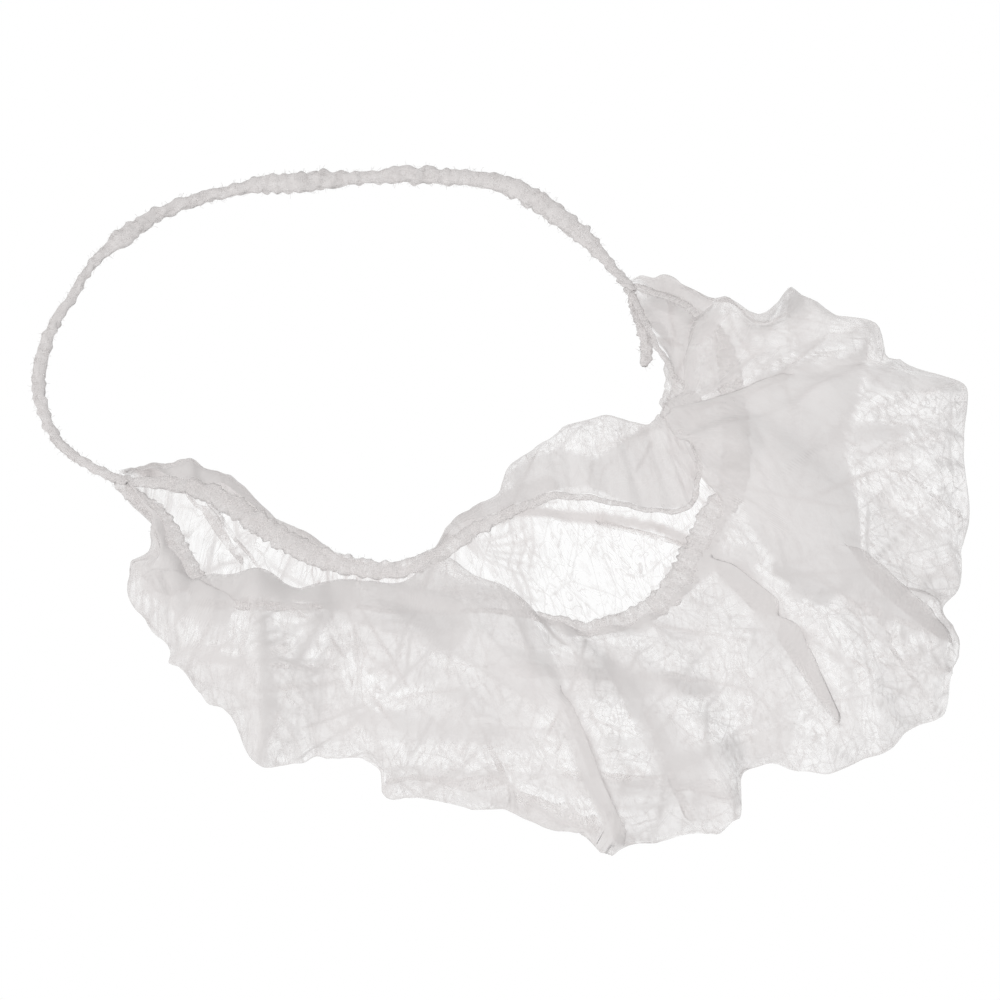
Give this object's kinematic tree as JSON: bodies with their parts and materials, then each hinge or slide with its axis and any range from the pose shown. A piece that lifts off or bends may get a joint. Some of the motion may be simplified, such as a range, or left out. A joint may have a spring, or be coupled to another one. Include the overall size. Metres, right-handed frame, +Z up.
{
  "type": "beard cover",
  "caption": "Disposable beard cover of thin non-woven fabric: a gathered pouch with elastic edges and one head loop.",
  "frame": {"origin": "centre of the lowest plane, on the surface that the cover lies on", "axes": "+Z up, +Y from the near fold of the pouch towards the head loop, +X to the right seen from the near side"},
  "size_m": [0.3614, 0.342, 0.076],
  "materials": {
    "fabric": "thin matt non-woven",
    "gathered_edge": "matt, tightly gathered",
    "elastic": "satin"
  },
  "bodies": {
    "root": {"pouch": "fabric", "rim_back": "gathered_edge", "rim_front": "gathered_edge", "head_loop": "gathered_edge", "elastic_tail": "elastic"}
  },
  "joints": []
}
